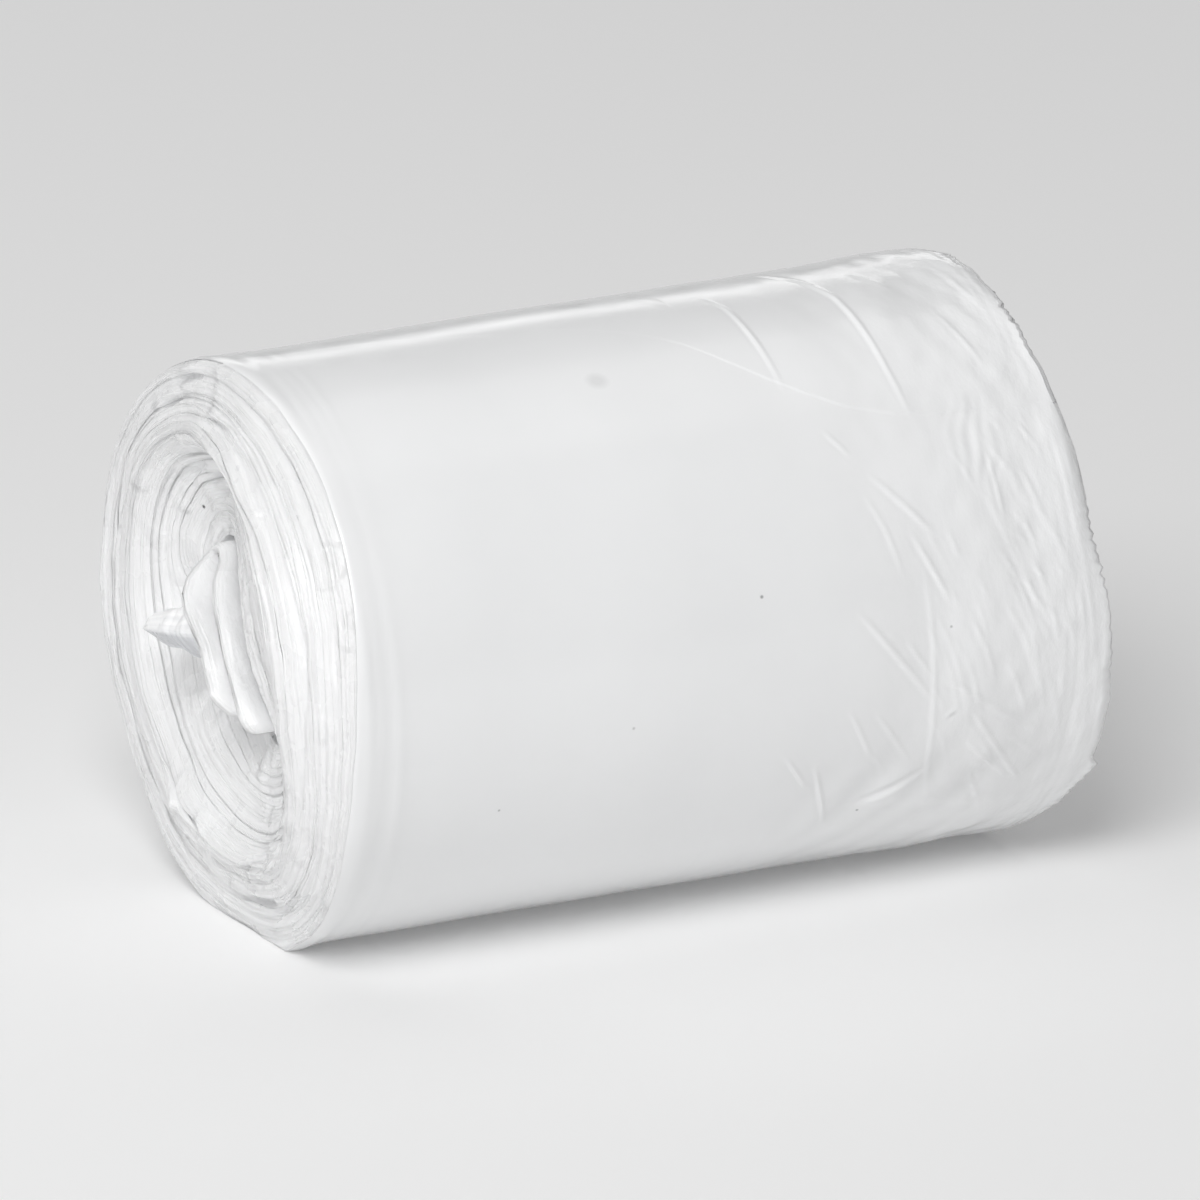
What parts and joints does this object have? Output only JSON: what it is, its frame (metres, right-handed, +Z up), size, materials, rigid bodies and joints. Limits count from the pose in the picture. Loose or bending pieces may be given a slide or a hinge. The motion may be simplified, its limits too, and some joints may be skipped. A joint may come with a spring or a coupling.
{
  "type": "bin bag roll",
  "caption": "Coreless roll of thin white film bin bags lying on its side, wound to one free edge, with loose telescoped turns and a folded film core showing at one end.",
  "frame": {"origin": "on the surface the roll rests on, in the middle of its small flat underside and under the middle of the web's width", "axes": "X runs along the winding axis, with the end that shows its turns and core fold at -X; -Y is the front; Z is up"},
  "size_m": [0.1677, 0.1093, 0.1079],
  "materials": {
    "white_film": "gloss"
  },
  "bodies": {
    "root": {"bag_roll": "white_film"}
  },
  "joints": []
}
